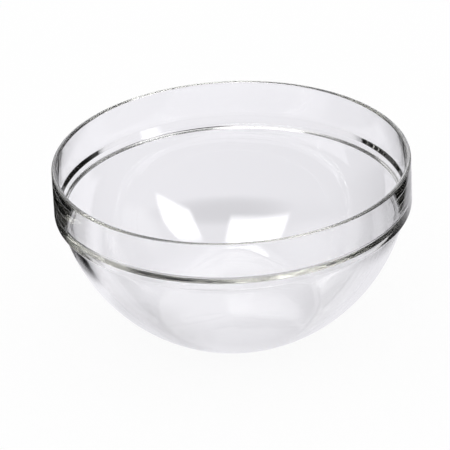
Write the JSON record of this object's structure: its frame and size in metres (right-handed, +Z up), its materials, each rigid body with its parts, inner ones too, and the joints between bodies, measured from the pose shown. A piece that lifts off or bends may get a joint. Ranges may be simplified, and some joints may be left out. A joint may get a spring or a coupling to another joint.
{
  "type": "salad bowl",
  "caption": "Clear pressed-glass salad bowl with a round side, an upright band above a stacking shoulder, a sloped ledge inside the band, a rounded rim and a flat standing ring.",
  "frame": {"origin": "centre of the standing ring, on the table", "axes": "+Z up along the bowl's axis of revolution; X and Y are free, the bowl is round"},
  "size_m": [0.23, 0.23, 0.112],
  "materials": {
    "glass": "clear, smooth, fire-polished"
  },
  "bodies": {
    "root": {"bowl": "glass"}
  },
  "joints": []
}
